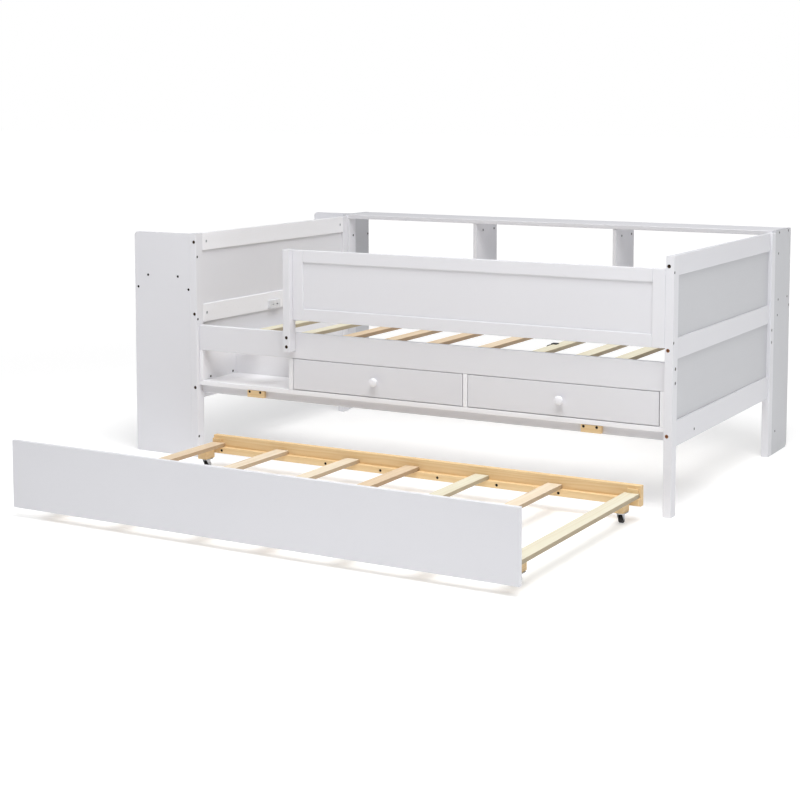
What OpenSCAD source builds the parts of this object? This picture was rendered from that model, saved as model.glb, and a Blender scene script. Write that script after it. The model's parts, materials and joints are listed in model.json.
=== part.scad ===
// Trundle bed: a twin daybed with a side shelf, a back shelf, a guard, two drawers and a pull-out trundle.
// Millimetres, +Z up, origin at the middle of the footprint on the floor, front of the bed towards -Y.

/* [Bed frame] */
// Length over the outer faces of the posts
bed_l = 2021; // [1980:1:2060]
// Depth over the outer faces of the posts
bed_d = 1165; // [1140:1:1200]
// Height of the posts
post_h = 900; // [880:1:940]
// Width of a post along the bed
post_w = 30; // [28:1:36]
// Depth of a post
post_d = 45; // [42:1:50]
// Thickness of the rails
rail_t = 22; // [20:0.5:24]

/* [End frames] */
// How far an end rail lies in from the posts' outer faces
end_setback = 8; // [6:0.5:8]
// Height of the top rail
top_rail_h = 70; // [60:1:80]
// Underside of the middle rail
middle_rail_z = 541; // [535:1:550]
// Height of the middle rail
middle_rail_h = 73; // [65:1:80]
// Underside of the bottom rail
bottom_rail_z = 237; // [230:1:240]
// Height of the bottom rail
bottom_rail_h = 90; // [86:1:96]
// Thickness of the recessed panels
panel_t = 8; // [6:0.5:9]

/* [Side rails and slats] */
// Underside of the front and back rails
side_rail_z = 433; // [431:1:437]
// Height of the front and back rails
side_rail_h = 100; // [90:1:105]
// How far a side rail lies in from the posts' faces
side_setback = 16; // [12:1:18]
// Width of a bed slat
slat_w = 56; // [50:1:64]
// Thickness of a slat
slat_t = 15; // [12:0.5:18]
// Side of the square ledger that carries the slats
ledger_s = 22; // [18:1:25]

/* [Guard] */
// Length of the guard from the right post to its own post
guard_l = 1502; // [1400:1:1600]
// Underside of the guard
guard_z = 585; // [580:1:600]
// Height of the guard
guard_h = 271; // [240:1:290]
// Width of the guard's frame members
guard_member = 46; // [40:1:55]
// Thickness of the guard's frame
guard_t = 20; // [18:1:22]
// Foot of the guard post
guard_post_z = 462; // [450:1:470]
// Depth of the guard post
guard_post_d = 44; // [40:1:50]

/* [Drawers and cubby] */
// Top of the board under the drawers
case_floor_z = 310; // [305:1:315]
// Thickness of the case boards
case_t = 18; // [15:1:20]
// Depth of the case behind its front edge
case_d = 450; // [430:1:480]
// Width of each drawer bay
bay_w = 739; // [700:1:745]
// Thickness of a drawer front
drawer_front_t = 15; // [12:1:18]
// Gap round a drawer front
drawer_gap = 2.5; // [2:0.5:3]
// Thickness of the drawer box's boards
drawer_box_t = 12; // [10:1:14]
// Height of the drawer box
drawer_box_h = 88; // [70:1:95]
// Diameter of a knob
knob_d = 34; // [28:1:40]
// Depth of the cubby
cubby_d = 232; // [200:1:260]
// Height of the thin rail under the case
lower_rail_h = 32; // [28:1:34]

/* [Side shelf] */
// Width of the side shelf's boards
side_shelf_w = 277; // [250:1:300]
// Height of the side shelf's boards
side_board_h = 898; // [890:1:900]
// Radius of their outer top corner
side_corner_r = 16; // [10:1:30]
// Top of the side shelf
side_shelf_z = 733; // [725:1:780]
// Height of the aprons under the side shelf
side_apron_h = 82; // [60:1:85]

/* [Back shelf] */
// Depth of the back shelf
back_shelf_d = 210; // [190:1:230]
// Height of its end boards
back_shelf_h = 908; // [902:1:915]
// Thickness of its boards
back_board_t = 15; // [15:0.5:16]
// Top of the lower shelf
back_lower_z = 637; // [625:1:650]
// Height of the apron under the lower shelf
back_apron_h = 56; // [45:1:70]

/* [Trundle] */
// How far the trundle is pulled out at rest
trundle_out = 1079; // [950:1:1079]
// Length of the trundle's front board
trundle_l = 1918; // [1900:1:1925]
// Height of the front board
trundle_board_h = 234; // [225:1:240]
// Gap under the front board
trundle_board_z = 32; // [32:1:34]
// Thickness of the front board
trundle_board_t = 15; // [15:0.5:16]
// Depth of the trundle from its front board to the back of its back rail
trundle_d = 1017; // [1000:1:1030]
// Height of the back rail
trundle_rail_h = 72; // [65:1:75]
// Width of a trundle slat
trundle_slat_w = 56; // [50:1:64]

/* [Casters] */
// Height of a caster over its plate
caster_h = 40; // [40:1:42]
// Diameter of a caster wheel
wheel_d = 28; // [26:1:29]
// Width of a caster wheel
wheel_w = 17; // [15:1:18]
// Distance of the wheel's axle from the swivel
caster_trail = 9; // [7:1:10]

/* [Hidden] */
$fn = 48;
groove = 8;                 // depth of the panel grooves
fit = 0.3;                  // clearance of a panel in its groove
white = "white";
pine = [0.87, 0.74, 0.55];
steel = [0.25, 0.22, 0.2];

// Local frame: x = 0 at the right posts' outer faces, y = 0 at the front posts' front faces.
total_d = bed_d + back_shelf_d + trundle_out;
half_l = (bed_l + side_shelf_w) / 2;
post_front_y = total_d / 2 - bed_d - back_shelf_d;

inner_l = -bed_l + post_w;          // inner face of the left posts
inner_r = -post_w;                  // inner face of the right posts
back_y = bed_d;                     // rear faces of the back posts
rear_y = bed_d + back_shelf_d;      // rear edge of the back shelf
back_post_y = bed_d - post_d;

front_rail_y = side_setback;
back_rail_y = bed_d - side_setback - rail_t;
side_rail_top = side_rail_z + side_rail_h;
ledger_z = side_rail_z + 20;
slat_z = ledger_z + ledger_s;
// Right edges of the bed slats, from the right posts' outer faces
slat_at = [85, 278, 430, 610, 836, 1058, 1248, 1440, 1635, 1842];

end_rails = [
    [post_h - top_rail_h, top_rail_h],
    [middle_rail_z, middle_rail_h],
    [bottom_rail_z, bottom_rail_h]
];
panel_spans = [
    [bottom_rail_z + bottom_rail_h, middle_rail_z],
    [middle_rail_z + middle_rail_h, post_h - top_rail_h]
];
right_rail_x = -end_setback - rail_t;       // left side of the right end's rails
left_rail_x = inner_l - rail_t;             // left side of the left end's rails
right_panel_x = right_rail_x + (rail_t - panel_t) / 2;
left_panel_x = left_rail_x + (rail_t - panel_t) / 2;
bolt_z = [for (r = end_rails) r[0] + r[1] / 2];
end_rail_mid = end_setback + rail_t / 2;
end_bolt_len = 71;
nut_d = 12;                         // barrel nuts
nut_l = 14;
side_bolt_z = [side_rail_z + 30, side_rail_z + 79];

guard_post_x = inner_r - guard_l;
guard_back_y = front_rail_y;
guard_front_y = guard_back_y - guard_t;
guard_bolt_z = [guard_post_z + 20.5, guard_post_z + 56];
guard_screw_z = [guard_z + guard_member / 2 - 4, guard_z + guard_h - guard_member / 2 + 11];

case_z = case_floor_z - case_t;
case_front_y = side_setback;
case_back_y = case_front_y + case_d;
side_t = 21;                        // thickness of the board at the right end of the case
bay_right = [inner_r - side_t, inner_r - side_t - bay_w - case_t];  // right edges of the two bays
cubby_x = bay_right[1] - bay_w - case_t;    // right side of the cubby
left_side_t = 15;
runner_s = 12;
drawer_z = case_floor_z + runner_s + fit;
knob_z = (case_floor_z + side_rail_z) / 2;
lower_rail_y = case_front_y + 18;
lower_rail_z = case_z - lower_rail_h;
block_w = 76;
block_x = [-342, -1760];

side_shelf_x = -bed_l - side_shelf_w;
side_apron_z = side_shelf_z - case_t - side_apron_h;

shelf_r = -back_board_t;            // inner face of the right end board
shelf_l = -bed_l + back_board_t;    // inner face of the left end board
divider_x = [-697, -1352];
top_board_t = 18;
top_board_z = back_shelf_h - top_board_t - 1;
foot_r = 25;                        // rounded lower rear corner of the back shelf's ends

board_r = -59;                      // right end of the trundle's front board
trundle_y = -trundle_out;           // front face of the trundle at rest
trundle_rail_x = [-1852, -75];
trundle_rail_t = 23;
trundle_rail_y = trundle_y + trundle_d - trundle_rail_t;
trundle_rail_z = 50;
trundle_ledger_t = 20;
trundle_ledger_h = 25;
trundle_slat_z = 80;
// Right edges of the trundle's slats, from the right posts' outer faces
trundle_slat_at = [80, 365, 648, 932, 1186, 1500, 1795];
block = [40, 55];
caster_x = [-125, -1846];
caster_y = [trundle_y + 120, trundle_rail_y - 58];
race_z = caster_h - 4;              // underside of the plate's race
fork_top = race_z - fit;
fork_t = 2.2;
rivet_z = fork_top - fork_t - fit;  // top of the rivet's flange
axle_d = 5;
axle_z = wheel_d / 2;
cheek_x = wheel_w / 2 + 0.7;
cheek_t = 1.6;

socket = [12, 78, 34];              // body of the twin outlet

// Heights of the screws that join the side shelf and the back shelf to the posts
post_screw_z = [84, 557, 806];
// Screws of the side shelf's boards as [x, z]
side_board_screws = [
    [-2082, side_shelf_z - case_t / 2], [-2231, side_shelf_z - case_t / 2],
    [-bed_l - case_t / 2, side_shelf_z - case_t - 41], [side_shelf_x + case_t / 2 + 8, side_shelf_z - case_t - 41]
];
batten_t = 18;
batten_d = 60;
shelf_screw_y = [back_y + 50, back_y + 174];
end_board_screws = [
    for (y = shelf_screw_y) [y, top_board_z + top_board_t / 2],
    for (y = shelf_screw_y) [y, back_lower_z - case_t / 2],
    [rear_y - 9, back_lower_z - case_t - back_apron_h / 2]
];

// ---------- helpers ----------

// Moves from the local frame to the part's own frame.
module at_bed() translate([half_l, post_front_y, 0]) children();

// A box between two corners.
module board(a, b) translate(a) cube(b - a);

// Points the +Z axis of its children along +x, -x, +y, -y or -z.
module aim(way) {
    turn = way == "+x" ? [0, 90, 0] : way == "-x" ? [0, -90, 0]
        : way == "+y" ? [-90, 0, 0] : way == "-y" ? [90, 0, 0] : [180, 0, 0];
    rotate(turn) children();
}

// A countersunk wood screw whose head is flush with the surface at p.
module screw(p, way, len = 40) {
    translate(p) aim(way) {
        translate([0, 0, 0.4]) cylinder(d1 = 10.2, d2 = 3.6, h = 3);
        translate([0, 0, 3]) cylinder(d = 3.6, h = len - 3);
    }
}

// The hole that a screw leaves.
module screw_hole(p, way, len = 40) {
    translate(p) aim(way) {
        translate([0, 0, -1]) cylinder(d = 10.8, h = 4.6);
        cylinder(d = 4, h = len + 0.5);
    }
}

// A frame bolt whose socket head lies just below the surface at p.
module bolt(p, way, len) {
    translate(p) aim(way) {
        difference() {
            translate([0, 0, 0.8]) cylinder(d = 13, h = 5);
            translate([0, 0, 0.7]) cylinder(d = 5, h = 3, $fn = 6);
        }
        translate([0, 0, 5.7]) cylinder(d = 6, h = len - 5.7);
    }
}

module bolt_hole(p, way, len) {
    translate(p) aim(way) {
        translate([0, 0, -1]) cylinder(d = 13.6, h = 7);
        cylinder(d = 6.4, h = len + 1);
    }
}

// ---------- where the fasteners are ----------

// Bolts through the posts into the end rails, or their holes.
module end_bolts(x, hole) {
    for (z = bolt_z) {
        if (hole) {
            bolt_hole([x, 0, z], "+y", end_bolt_len);
            bolt_hole([x, bed_d, z], "-y", end_bolt_len);
        } else {
            bolt([x, 0, z], "+y", end_bolt_len - nut_d / 2 - 1);
            bolt([x, bed_d, z], "-y", end_bolt_len - nut_d / 2 - 1);
        }
    }
}

// Barrel nuts of the end rails, set in from the rails' inner faces, or their holes.
module end_nuts(x, way, hole) {
    for (z = bolt_z, y = [end_bolt_len, bed_d - end_bolt_len])
        translate([x, y, z]) aim(way) translate([0, 0, hole ? -1 : 1])
            cylinder(d = hole ? nut_d + 0.4 : nut_d, h = hole ? nut_l + 2.4 : nut_l);
}

// Bolts through the posts into the front and back rails.
module side_bolts(hole) {
    for (z = side_bolt_z, y = [front_rail_y + rail_t / 2, back_rail_y + rail_t / 2]) {
        if (hole) {
            bolt_hole([0, y, z], "-x", 80);
            bolt_hole([-bed_l, y, z], "+x", 80);
        } else {
            bolt([0, y, z], "-x", 80);
            bolt([-bed_l, y, z], "+x", 80);
        }
    }
}

module guard_bolts(hole) {
    for (z = guard_bolt_z) {
        p = [guard_post_x - post_w / 2, guard_back_y - guard_post_d, z];
        if (hole) bolt_hole(p, "+y", guard_post_d + 14);
        else bolt(p, "+y", guard_post_d + 14);
    }
}

// Puts a screw, or its hole, at each place.
module screws_at(places, way, hole, len) {
    for (p = places) {
        if (hole) screw_hole(p, way, len);
        else screw(p, way, len);
    }
}

module guard_screws(hole) {
    screws_at([for (z = guard_screw_z) [0, guard_front_y + guard_t / 2, z]], "-x", hole, 55);
    screws_at([for (z = guard_screw_z) [guard_post_x - post_w, guard_front_y + guard_t / 2, z]], "+x", hole, 55);
}

module side_shelf_screws(hole) {
    screws_at([for (q = side_board_screws) [q[0], 0, q[1]]], "+y", hole, 45);
    screws_at([for (q = side_board_screws) [q[0], rear_y, q[1]]], "-y", hole, 45);
    screws_at([for (z = post_screw_z) [inner_l, case_t / 2, z]], "-x", hole, 60);
    screws_at([for (z = post_screw_z) [-bed_l + back_board_t, rear_y - case_t / 2, z]], "-x", hole, 45);
}

module back_shelf_screws(hole) {
    screws_at([for (q = end_board_screws) [0, q[0], q[1]]], "-x", hole, 45);
    screws_at([for (i = [0:3]) [-bed_l, end_board_screws[i][0], end_board_screws[i][1]]], "+x", hole, 45);
    screws_at([for (z = post_screw_z) [0, back_y + 43, z + 8]], "-x", hole, 28);
    screws_at([for (z = post_screw_z) [-bed_l + back_board_t + batten_t, back_y + 39, z + 4]], "-x", hole, 28);
}

// Pairs of short screws high on the dividers' right faces.
module divider_screws(hole) {
    for (x = divider_x)
        screws_at([for (y = [back_y + 70, back_y + 180]) [x + back_board_t, y, top_board_z - 32]], "-x", hole, 12);
}

module case_screws(hole) {
    screws_at([for (y = [61, 251]) [-end_setback, y, 267]], "-x", hole, 34);
    screws_at([for (y = [71, 225]) [inner_l + left_side_t, y, 320]], "-x", hole, 20);
    for (x = block_x) screws_at([for (d = [10, block_w - 16]) [x + d, case_front_y, case_z - 7]], "+y", hole, 32);
}

// ---------- bed frame ----------

module post(x, y) board([x, y, 0], [x + post_w, y + post_d, post_h]);

// Grooves that hold the recessed panels, whose left faces are at x.
module panel_grooves(x) {
    for (z = panel_spans)
        board([x - fit / 2, post_d - groove, z[0] - groove],
            [x + panel_t + fit / 2, back_post_y + groove, z[1] + groove]);
}

module post_front_right() color(white) at_bed() difference() {
    post(-post_w, 0);
    panel_grooves(right_panel_x);
    end_bolts(-end_rail_mid, true);
    side_bolts(true);
    guard_screws(true);
}

module post_back_right() color(white) at_bed() difference() {
    post(-post_w, back_post_y);
    panel_grooves(right_panel_x);
    end_bolts(-end_rail_mid, true);
    side_bolts(true);
}

module post_front_left() color(white) at_bed() difference() {
    post(-bed_l, 0);
    panel_grooves(left_panel_x);
    end_bolts(left_rail_x + rail_t / 2, true);
    side_bolts(true);
    side_shelf_screws(true);
}

module post_back_left() color(white) at_bed() difference() {
    post(-bed_l, back_post_y);
    panel_grooves(left_panel_x);
    end_bolts(left_rail_x + rail_t / 2, true);
    side_bolts(true);
}

// A rail of the right end, number i from the top.
module right_rail(i) {
    difference() {
        board([right_rail_x, post_d, end_rails[i][0]],
            [right_rail_x + rail_t, back_post_y, end_rails[i][0] + end_rails[i][1]]);
        panel_grooves(right_panel_x);
        end_bolts(-end_rail_mid, true);
        end_nuts(right_rail_x, "+x", true);
        case_screws(true);
    }
}

module left_rail(i) {
    difference() {
        board([left_rail_x, post_d, end_rails[i][0]],
            [left_rail_x + rail_t, back_post_y, end_rails[i][0] + end_rails[i][1]]);
        panel_grooves(left_panel_x);
        end_bolts(left_rail_x + rail_t / 2, true);
        end_nuts(left_rail_x + rail_t, "-x", true);
        case_screws(true);
    }
}

module right_top_rail() color(white) at_bed() right_rail(0);
module right_middle_rail() color(white) at_bed() right_rail(1);
module right_bottom_rail() color(white) at_bed() right_rail(2);
module left_top_rail() color(white) at_bed() left_rail(0);
module left_middle_rail() color(white) at_bed() left_rail(1);
module left_bottom_rail() color(white) at_bed() left_rail(2);

module panels(x) {
    lap = groove - 1;
    for (z = panel_spans)
        board([x, post_d - lap, z[0] - lap], [x + panel_t, back_post_y + lap, z[1] + lap]);
}

module right_panels() color(white) at_bed() panels(right_panel_x);
module left_panels() color(white) at_bed() panels(left_panel_x);

// ---------- side rails, slats ----------

module front_rail() color(white) at_bed() difference() {
    board([inner_l, front_rail_y, side_rail_z], [inner_r, front_rail_y + rail_t, side_rail_top]);
    side_bolts(true);
    guard_bolts(true);
}

module back_rail() color(white) at_bed() difference() {
    board([inner_l, back_rail_y, side_rail_z], [inner_r, back_rail_y + rail_t, side_rail_top]);
    side_bolts(true);
}

module slat_ledgers() color(pine) at_bed() {
    for (y = [front_rail_y + rail_t, back_rail_y - ledger_s])
        board([inner_l + 5, y, ledger_z], [inner_r - 5, y + ledger_s, slat_z]);
}

module bed_slats() color(pine) at_bed() {
    for (s = slat_at)
        board([-s - slat_w, front_rail_y + rail_t + 3, slat_z], [-s, back_rail_y - 3, slat_z + slat_t]);
}

// ---------- guard ----------

module guard_post() color(white) at_bed() difference() {
    board([guard_post_x - post_w, guard_back_y - guard_post_d, guard_post_z],
        [guard_post_x, guard_back_y, guard_z + guard_h + 1]);
    guard_bolts(true);
    guard_screws(true);
}

module guard_groove() {
    m = guard_member - groove;
    y = guard_front_y + guard_t / 2;
    board([guard_post_x + m, y - panel_t / 2 - fit / 2, guard_z + m],
        [inner_r - m, y + panel_t / 2 + fit / 2, guard_z + guard_h - m]);
}

module guard_frame() color(white) at_bed() difference() {
    union() {
        // stiles
        board([guard_post_x, guard_front_y, guard_z],
            [guard_post_x + guard_member, guard_back_y, guard_z + guard_h]);
        board([inner_r - guard_member, guard_front_y, guard_z], [inner_r, guard_back_y, guard_z + guard_h]);
        // rails, a hair short of the stiles so that each stays its own piece
        for (z = [guard_z, guard_z + guard_h - guard_member])
            board([guard_post_x + guard_member + 0.1, guard_front_y, z],
                [inner_r - guard_member - 0.1, guard_back_y, z + guard_member]);
    }
    guard_groove();
    guard_screws(true);
}

module guard_panel() color(white) at_bed() {
    m = guard_member - groove + 1;
    y = guard_front_y + guard_t / 2;
    board([guard_post_x + m, y - panel_t / 2, guard_z + m],
        [inner_r - m, y + panel_t / 2, guard_z + guard_h - m]);
}

// ---------- case with the cubby and the drawer bays ----------

module case_bottom() color(white) at_bed()
    board([inner_l, case_front_y, case_z], [inner_r, case_back_y, case_floor_z]);

module case_partitions() color(white) at_bed() difference() {
    for (q = [[inner_r - side_t, side_t], [bay_right[1], case_t], [cubby_x, case_t], [inner_l, left_side_t]])
        board([q[0], case_front_y, case_floor_z], [q[0] + q[1], case_back_y, side_rail_z]);
    case_screws(true);
}

module case_backs() color(white) at_bed() {
    board([inner_l + left_side_t, case_front_y + cubby_d, case_floor_z],
        [cubby_x, case_front_y + cubby_d + case_t, side_rail_z]);
    for (x = bay_right)
        board([x - bay_w, case_back_y - 12, case_floor_z], [x, case_back_y, side_rail_z]);
}

module case_cleats() color(white) at_bed() difference() {
    for (x = [inner_r - case_t, inner_l])
        board([x, lower_rail_y + case_t, case_z - 38], [x + case_t, case_back_y, case_z]);
    case_screws(true);
}

module drawer_runners() color(pine) at_bed() {
    for (x = bay_right, d = [0, bay_w - runner_s])
        board([x - d - runner_s, case_front_y + 20, case_floor_z],
            [x - d, case_back_y - 20, case_floor_z + runner_s]);
}

module lower_rail() color(white) at_bed() difference() {
    board([inner_l, lower_rail_y, lower_rail_z], [inner_r, lower_rail_y + case_t, case_z]);
    case_screws(true);
}

module rail_blocks() color(pine) at_bed() difference() {
    for (x = block_x)
        board([x, case_front_y, lower_rail_z + 4], [x + block_w, lower_rail_y, case_z - 1]);
    case_screws(true);
}

// ---------- side shelf ----------

// A tall board whose outer top corner is rounded.
module side_board(y) {
    r = side_corner_r;
    translate([side_shelf_x, y + case_t, 0]) rotate([90, 0, 0]) linear_extrude(case_t) {
        square([side_shelf_w, side_board_h - r]);
        translate([r, 0]) square([side_shelf_w - r, side_board_h]);
        translate([r, side_board_h - r]) circle(r, $fn = 64);
    }
}

module side_shelf_front_board() color(white) at_bed() difference() {
    side_board(0);
    side_shelf_screws(true);
}

module side_shelf_rear_board() color(white) at_bed() difference() {
    side_board(rear_y - case_t);
    side_shelf_screws(true);
}

module side_shelf_board() color(white) at_bed() difference() {
    board([side_shelf_x, case_t, side_shelf_z - case_t], [-bed_l, rear_y - case_t, side_shelf_z]);
    side_shelf_screws(true);
}

module side_shelf_aprons() color(white) at_bed() difference() {
    for (x = [-bed_l - case_t, side_shelf_x + 8])
        board([x, case_t, side_apron_z], [x + case_t, rear_y - case_t, side_shelf_z - case_t]);
    side_shelf_screws(true);
}

// ---------- back shelf ----------

// An end board whose lower rear corner is rounded.
module shelf_end(x) {
    r = foot_r;
    translate([x, back_y, 0]) rotate([90, 0, 90]) linear_extrude(back_board_t) {
        translate([0, r]) square([back_shelf_d, back_shelf_h - r]);
        square([back_shelf_d - r, back_shelf_h]);
        translate([back_shelf_d - r, r]) circle(r, $fn = 64);
    }
}

module back_shelf_ends() color(white) at_bed() difference() {
    union() {
        shelf_end(-back_board_t);
        shelf_end(-bed_l);
    }
    back_shelf_screws(true);
    side_shelf_screws(true);
}

module back_shelf_top() color(white) at_bed() difference() {
    board([shelf_l, back_y, top_board_z], [shelf_r, rear_y, top_board_z + top_board_t]);
    back_shelf_screws(true);
}

// The lower shelf is notched at its front corners for the battens.
module back_shelf_lower() color(white) at_bed() difference() {
    z = back_lower_z - case_t;
    board([shelf_l, back_y, z], [shelf_r, rear_y, back_lower_z]);
    for (x = [shelf_r - batten_t, shelf_l])
        board([x - fit, back_y - 1, z - 1], [x + batten_t + fit, back_y + batten_d + fit, back_lower_z + 1]);
    back_shelf_screws(true);
}

module back_shelf_dividers() color(white) at_bed() difference() {
    for (x = divider_x)
        board([x, back_y + 2, back_lower_z], [x + back_board_t, rear_y, top_board_z]);
    divider_screws(true);
}

module back_shelf_apron() color(white) at_bed() difference() {
    board([shelf_l, rear_y - case_t, back_lower_z - case_t - back_apron_h],
        [shelf_r, rear_y, back_lower_z - case_t]);
    back_shelf_screws(true);
}

module back_shelf_battens() color(white) at_bed() difference() {
    for (x = [shelf_r - batten_t, shelf_l])
        board([x, back_y, 50], [x + batten_t, back_y + batten_d, top_board_z]);
    back_shelf_screws(true);
}

// ---------- fasteners and fittings of the frame ----------

module frame_bolts() color(steel) at_bed() {
    end_bolts(-end_rail_mid, false);
    end_bolts(left_rail_x + rail_t / 2, false);
    end_nuts(right_rail_x, "+x", false);
    end_nuts(left_rail_x + rail_t, "-x", false);
    side_bolts(false);
    guard_bolts(false);
}

module frame_screws() color(steel) at_bed() {
    guard_screws(false);
    side_shelf_screws(false);
    back_shelf_screws(false);
    divider_screws(false);
    case_screws(false);
}

// A small twin outlet on the inner face of the left middle rail.
module charging_socket() color(white) at_bed() difference() {
    board([inner_l, 505, middle_rail_z + 6], [inner_l + socket[0], 505 + socket[1], middle_rail_z + 6 + socket[2]]);
    for (y = [522, 552])
        board([inner_l + 7, y, middle_rail_z + 18], [inner_l + socket[0] + 1, y + 14, middle_rail_z + 24]);
}

// A black plastic cable hook on the left edge of a slat.
module cable_hook() color("black") at_bed() translate([-slat_at[3] - slat_w - fit, 490, slat_z]) {
    board([-4, 0, -10], [0, 24, slat_t + 4]);
    board([-4, 0, slat_t + fit], [18, 24, slat_t + 4]);
    translate([-14, 0, 1]) rotate([-90, 0, 0]) difference() {
        cylinder(d = 22, h = 24);
        translate([0, 0, -1]) cylinder(d = 12, h = 26);
    }
}

// ---------- drawers ----------

// Drawer i, 0 on the right and 1 on the left.
module drawer_front(i) difference() {
    x = bay_right[i];
    board([x - bay_w + drawer_gap, case_front_y, case_floor_z + drawer_gap],
        [x - drawer_gap, case_front_y + drawer_front_t, side_rail_z - drawer_gap]);
    translate([x - bay_w / 2, case_front_y - 1, knob_z]) aim("+y") cylinder(d = 5, h = drawer_front_t + 2);
}

// Four walls and a bottom in one open box.
module drawer_box(i) {
    x = bay_right[i] - bay_w + 4;
    y = case_front_y + drawer_front_t;
    w = bay_w - 8;
    d = case_d - drawer_front_t - 12 - 10;
    t = drawer_box_t;
    difference() {
        board([x, y, drawer_z], [x + w, y + d, drawer_z + drawer_box_h]);
        board([x + t, y + t, drawer_z + 9], [x + w - t, y + d - t, drawer_z + drawer_box_h + 1]);
        translate([x + w / 2, y - 1, knob_z]) aim("+y") cylinder(d = 12, h = t + 2);
    }
}

// A turned knob with its screw through the drawer front.
module drawer_knob(i) {
    r = knob_d / 2;
    translate([bay_right[i] - bay_w / 2, case_front_y, knob_z]) aim("-y") {
        rotate_extrude($fn = 64) {
            square([7, 14]);
            square([9.5, 3]);
            translate([0, 17]) knob_ball(r);
        }
        translate([0, 0, -drawer_front_t]) cylinder(d = 4, h = drawer_front_t + 1);
        translate([0, 0, -drawer_front_t - 3]) cylinder(d = 9, h = 3);
    }
}

// Profile of the knob's flattened ball: a half ellipse of radius r and half height 9.
module knob_ball(r) polygon([for (a = [-90:6:90]) [r * cos(a), 9 * sin(a)]]);

module right_drawer_front() color(white) at_bed() drawer_front(0);
module right_drawer_box() color(white) at_bed() drawer_box(0);
module right_drawer_knob() color(white) at_bed() drawer_knob(0);
module left_drawer_front() color(white) at_bed() drawer_front(1);
module left_drawer_box() color(white) at_bed() drawer_box(1);
module left_drawer_knob() color(white) at_bed() drawer_knob(1);

// ---------- trundle ----------

module trundle_front_board() color(white) at_bed()
    board([board_r - trundle_l, trundle_y, trundle_board_z],
        [board_r, trundle_y + trundle_board_t, trundle_board_z + trundle_board_h]);

module trundle_ledger_screws(hole)
    screws_at([for (s = [134:238:1800]) [-s, trundle_rail_y - trundle_ledger_t, trundle_slat_z - 13]],
        "+y", hole, 34);

module trundle_back_rail() color(pine) at_bed() difference() {
    board([trundle_rail_x[0], trundle_rail_y, trundle_rail_z],
        [trundle_rail_x[1], trundle_rail_y + trundle_rail_t, trundle_rail_z + trundle_rail_h]);
    trundle_ledger_screws(true);
}

module trundle_ledgers() color(pine) at_bed() difference() {
    for (y = [trundle_y + trundle_board_t, trundle_rail_y - trundle_ledger_t])
        board([trundle_rail_x[0], y, trundle_slat_z - trundle_ledger_h],
            [trundle_rail_x[1], y + trundle_ledger_t, trundle_slat_z]);
    trundle_ledger_screws(true);
}

module trundle_slats() color(pine) at_bed() {
    for (s = trundle_slat_at)
        board([-s - trundle_slat_w, trundle_y + trundle_board_t, trundle_slat_z],
            [-s, trundle_rail_y, trundle_slat_z + slat_t]);
}

// Blocks under the end slats that carry the casters, and small blocks over the slats' far ends.
module trundle_blocks() color(pine) at_bed() {
    for (x = caster_x, y = caster_y)
        board([x - block[0] / 2, y - block[1] / 2, caster_h],
            [x + block[0] / 2, y + block[1] / 2, trundle_slat_z]);
    for (x = [trundle_rail_x[0], -124])
        board([x, trundle_rail_y - 8, trundle_slat_z + slat_t],
            [x + 40, trundle_rail_y, trundle_slat_z + slat_t + 15]);
}

// The ledger screws, and each caster's fixed plate with the rivet that its fork turns on.
module trundle_fittings() color(steel) at_bed() {
    trundle_ledger_screws(false);
    for (x = caster_x, y = caster_y) translate([x, y, 0]) {
        board([-23, -17, caster_h - 2.5], [23, 17, caster_h]);
        translate([0, 0, race_z]) difference() {
            cylinder(d = 28, h = caster_h - 2.5 - race_z);
            translate([0, 0, -1]) cylinder(d = 20, h = 4);
        }
        translate([0, 0, rivet_z]) cylinder(d = 6, h = caster_h - 2.5 - rivet_z);
        translate([0, 0, rivet_z - 1.5]) cylinder(d = 10, h = 1.5);
    }
}

// ---------- casters ----------

// Fork in the trundle's frame, with its swivel on the local Z axis and its axle behind it.
module caster_fork(i, j) translate([caster_x[i], caster_y[j], 0]) {
    difference() {
        translate([0, 0, fork_top - fork_t]) cylinder(d = 30, h = fork_t);
        translate([0, 0, fork_top - fork_t - 1]) cylinder(d = 6.1, h = fork_t + 2);
    }
    for (x = [-cheek_x - cheek_t, cheek_x]) translate([x, 0, 0]) rotate([90, 0, 90]) linear_extrude(cheek_t) {
        polygon([
            [-11, fork_top - fork_t], [11, fork_top - fork_t],
            [caster_trail + 6, axle_z], [caster_trail - 6, axle_z - 2]
        ]);
        translate([caster_trail, axle_z]) circle(6, $fn = 32);
    }
    translate([-cheek_x - cheek_t - 1, caster_trail, axle_z]) rotate([0, 90, 0])
        cylinder(d = axle_d, h = 2 * (cheek_x + cheek_t + 1));
}

module caster_wheel(i, j) translate([caster_x[i] - wheel_w / 2, caster_y[j] + caster_trail, axle_z])
    rotate([0, 90, 0]) difference() {
        union() {
            cylinder(d = wheel_d - 4, h = wheel_w);
            translate([0, 0, 2]) cylinder(d = wheel_d, h = wheel_w - 4);
        }
        translate([0, 0, -1]) cylinder(d = axle_d + 0.12, h = wheel_w + 2);
    }

module front_right_fork() color("silver") at_bed() caster_fork(0, 0);
module front_right_wheel() color("black") at_bed() caster_wheel(0, 0);
module front_left_fork() color("silver") at_bed() caster_fork(1, 0);
module front_left_wheel() color("black") at_bed() caster_wheel(1, 0);
module back_right_fork() color("silver") at_bed() caster_fork(0, 1);
module back_right_wheel() color("black") at_bed() caster_wheel(0, 1);
module back_left_fork() color("silver") at_bed() caster_fork(1, 1);
module back_left_wheel() color("black") at_bed() caster_wheel(1, 1);

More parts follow.
